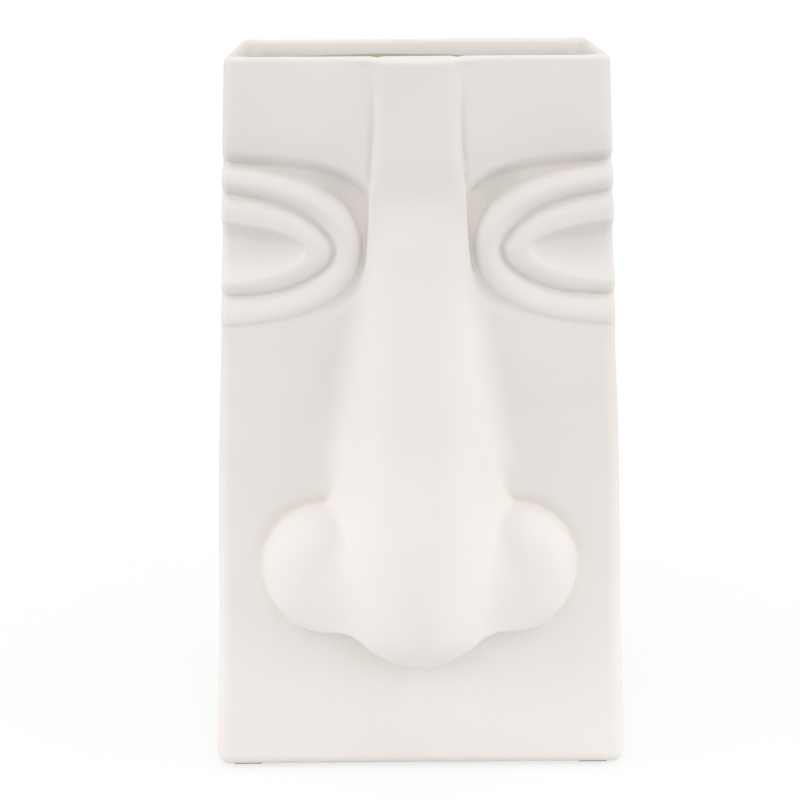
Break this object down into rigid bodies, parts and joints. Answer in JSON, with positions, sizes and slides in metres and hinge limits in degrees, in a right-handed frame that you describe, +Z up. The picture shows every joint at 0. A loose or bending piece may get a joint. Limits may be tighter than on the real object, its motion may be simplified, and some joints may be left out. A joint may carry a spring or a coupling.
{
  "type": "vase",
  "caption": "Tapering rectangular flower vase with a long nose and two cropped eyes in relief on its front wall.",
  "frame": {"origin": "centre of the resting plane, on the undersides of the four pads", "axes": "+Z up out of the mouth of the vase, -Y the way the face looks, +X to the right seen from the front"},
  "size_m": [0.139, 0.1294, 0.24],
  "materials": {
    "bisque": "matt off-white body",
    "pad": "soft matt pad"
  },
  "bodies": {
    "root": {"vase_body": "bisque", "pad_front_left": "pad", "pad_front_right": "pad", "pad_rear_left": "pad", "pad_rear_right": "pad"}
  },
  "joints": []
}
